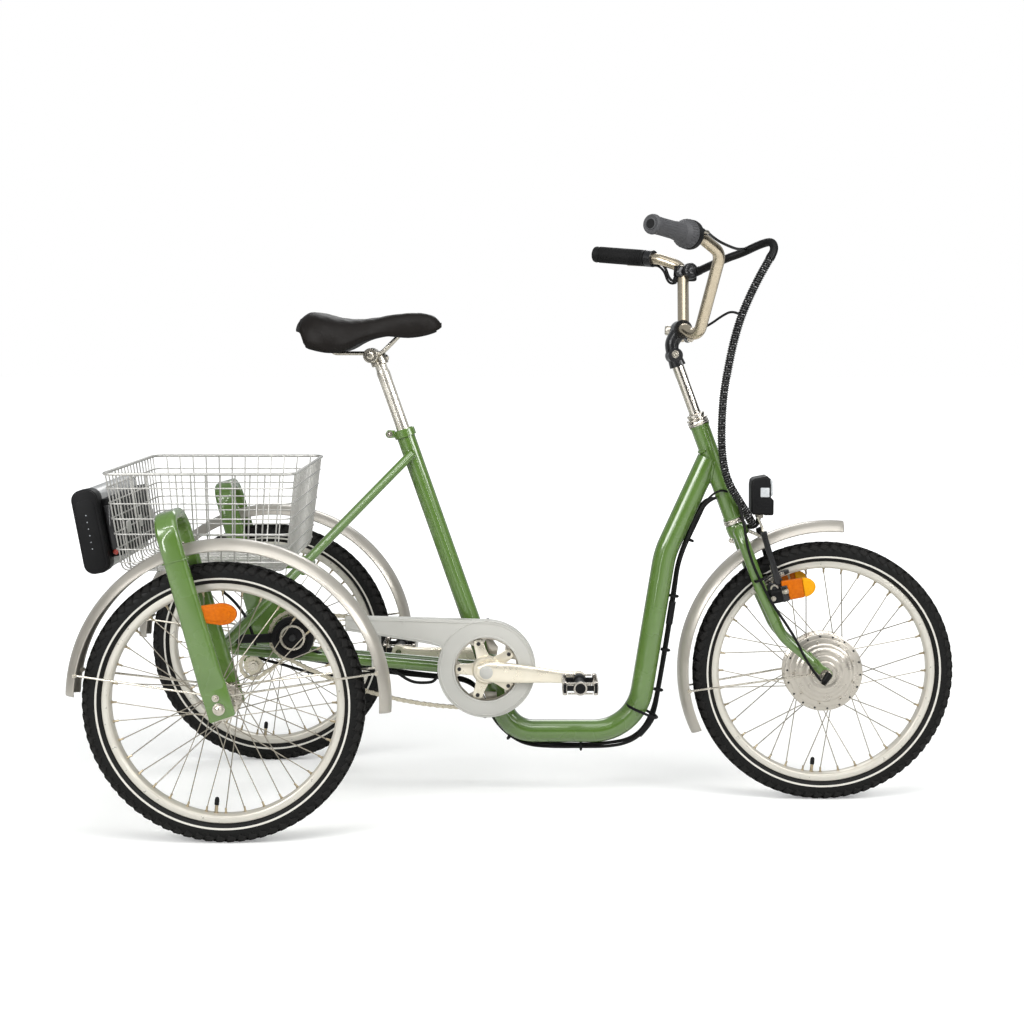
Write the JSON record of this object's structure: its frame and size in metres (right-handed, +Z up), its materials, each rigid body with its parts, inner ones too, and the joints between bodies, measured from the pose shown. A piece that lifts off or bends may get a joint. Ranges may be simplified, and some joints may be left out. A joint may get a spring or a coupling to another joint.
{
  "type": "electric cargo tricycle",
  "caption": "Low-step electric cargo tricycle with arched rear wheel mounts, a rear wire basket and battery, and a hub motor in the front wheel.",
  "frame": {"origin": "on the ground under the middle of the vehicle's box", "axes": "+X forward, +Y to the rider's left, +Z up"},
  "size_m": [1.6526, 0.779, 1.1044],
  "materials": {
    "green_paint": "gloss",
    "silver_paint": "satin",
    "grey_plastic": "satin",
    "zinc_wire": "satin",
    "steel": "satin",
    "chain_steel": "satin",
    "chrome": "polished",
    "aluminium": "satin",
    "rim_metal": "satin",
    "black_metal": "satin",
    "black_plastic": "matte",
    "black_rubber": "matte",
    "grip_rubber": "matte",
    "saddle_cover": "matte",
    "amber_plastic": "gloss",
    "tyre": "matte"
  },
  "bodies": {
    "frame": {"main_tube": "green_paint", "head_tube": "green_paint", "seat_tube": "green_paint", "rear_cross_tube": "green_paint", "seat_stays": "green_paint", "chain_stays": "green_paint", "hub_bracket": "green_paint", "gear_hub_axle": "steel", "torque_arm": "black_plastic", "wheel_arch_left": "green_paint", "wheel_arch_right": "green_paint", "rear_axle_right": "steel", "rear_fender_left": "silver_paint", "rear_fender_right": "silver_paint", "rear_reflectors": "amber_plastic", "basket_carrier": "green_paint", "basket": "zinc_wire", "battery_case": "aluminium", "battery_mount": "black_plastic", "chain_case": "grey_plastic", "front_chain": "chain_steel", "rear_chain": "chain_steel", "seat_clamp": "green_paint", "headset_cups": "chrome", "frame_harness": "black_rubber"},
    "seat": {"seat_post": "aluminium", "saddle_rails": "steel", "saddle": "saddle_cover"},
    "crank": {"crank_arms": "aluminium", "chainring": "aluminium"},
    "pedal_left": {"pedal_left": "black_plastic"},
    "pedal_right": {"pedal_right": "black_plastic"},
    "gear_hub": {"gear_hub": "steel"},
    "steering": {"fork": "green_paint", "front_axle": "steel", "stem": "chrome", "stem_head": "black_metal", "handlebar": "chrome", "grips": "grip_rubber", "twist_shifter": "black_plastic", "brake_lever": "aluminium", "bar_control": "black_plastic", "front_brake": "black_metal", "headlight": "black_plastic", "fork_reflectors": "amber_plastic", "front_fender": "silver_paint", "control_cables": "black_rubber", "motor_cable": "black_rubber"},
    "front_wheel": {"tyre_front": "tyre", "rim_front": "rim_metal", "hub_motor": "aluminium"},
    "rear_wheel_left": {"tyre_rear_left": "tyre", "rim_rear_left": "rim_metal", "hub_rear_left": "aluminium", "drive_axle": "steel"},
    "rear_wheel_right": {"tyre_rear_right": "tyre", "rim_rear_right": "rim_metal", "hub_rear_right": "aluminium"}
  },
  "joints": [
    {"name": "steer", "type": "hinge", "parent": "frame", "child": "steering", "pos_m": [0.32437, 0, 0.752], "axis": [-0.3502, 0, 0.9367], "range_deg": [-45, 45]},
    {"name": "front_wheel_spin", "type": "hinge", "parent": "steering", "child": "front_wheel", "pos_m": [0.57637, 0, 0.25], "axis": [0, 1, 0], "continuous": true},
    {"name": "rear_wheel_left_spin", "type": "hinge", "parent": "frame", "child": "rear_wheel_left", "pos_m": [-0.52863, 0.32, 0.25], "axis": [0, 1, 0], "continuous": true},
    {"name": "rear_wheel_right_spin", "type": "hinge", "parent": "frame", "child": "rear_wheel_right", "pos_m": [-0.52863, -0.32, 0.25], "axis": [0, 1, 0], "continuous": true},
    {"name": "crank_spin", "type": "hinge", "parent": "frame", "child": "crank", "pos_m": [-0.07063, 0, 0.26], "axis": [0, 1, 0], "continuous": true},
    {"name": "pedal_left_spin", "type": "hinge", "parent": "crank", "child": "pedal_left", "pos_m": [-0.24616, 0.084, 0.27289], "axis": [0, 1, 0], "continuous": true},
    {"name": "pedal_right_spin", "type": "hinge", "parent": "crank", "child": "pedal_right", "pos_m": [0.1049, -0.084, 0.24711], "axis": [0, 1, 0], "continuous": true},
    {"name": "gear_hub_spin", "type": "hinge", "parent": "frame", "child": "gear_hub", "pos_m": [-0.43763, 0, 0.324], "axis": [0, 1, 0], "continuous": true},
    {"name": "seat_height", "type": "slide", "parent": "frame", "child": "seat", "axis": [-0.3305, 0, 0.9438], "range_m": [-0.1, 0.025]}
  ],
  "couplings": [
    {"joint": "gear_hub_spin", "follows": "crank_spin", "ratio": 1.6739}
  ]
}
